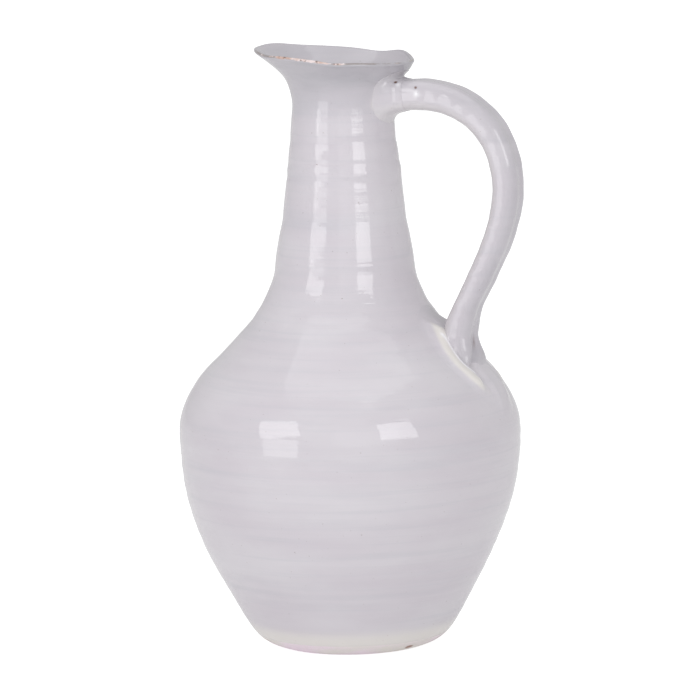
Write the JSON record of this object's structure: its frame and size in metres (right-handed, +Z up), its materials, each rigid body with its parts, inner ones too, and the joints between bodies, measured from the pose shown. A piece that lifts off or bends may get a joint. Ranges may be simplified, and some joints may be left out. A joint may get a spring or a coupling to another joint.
{
  "type": "ceramic pitcher",
  "caption": "Tall ceramic pitcher with a round belly, a slender bottle neck, a flared pouring lip and a looped strap handle, in glossy white glaze.",
  "frame": {"origin": "centre of the flat underside of the foot", "axes": "+Z up along the axis the vessel was thrown on; +X from that axis towards the handle; -X towards the pouring side of the lip; y = 0 is the plane of symmetry"},
  "size_m": [0.2113, 0.2022, 0.3558],
  "materials": {
    "white_glaze": "polished",
    "bare_clay": "matte"
  },
  "bodies": {
    "root": {"base": "bare_clay", "belly": "white_glaze", "neck": "white_glaze", "lip": "white_glaze", "upper_luting_coil": "white_glaze", "handle_upper_collar": "white_glaze", "handle": "white_glaze", "handle_lower_terminal": "white_glaze", "lower_luting_coil": "white_glaze"}
  },
  "joints": []
}
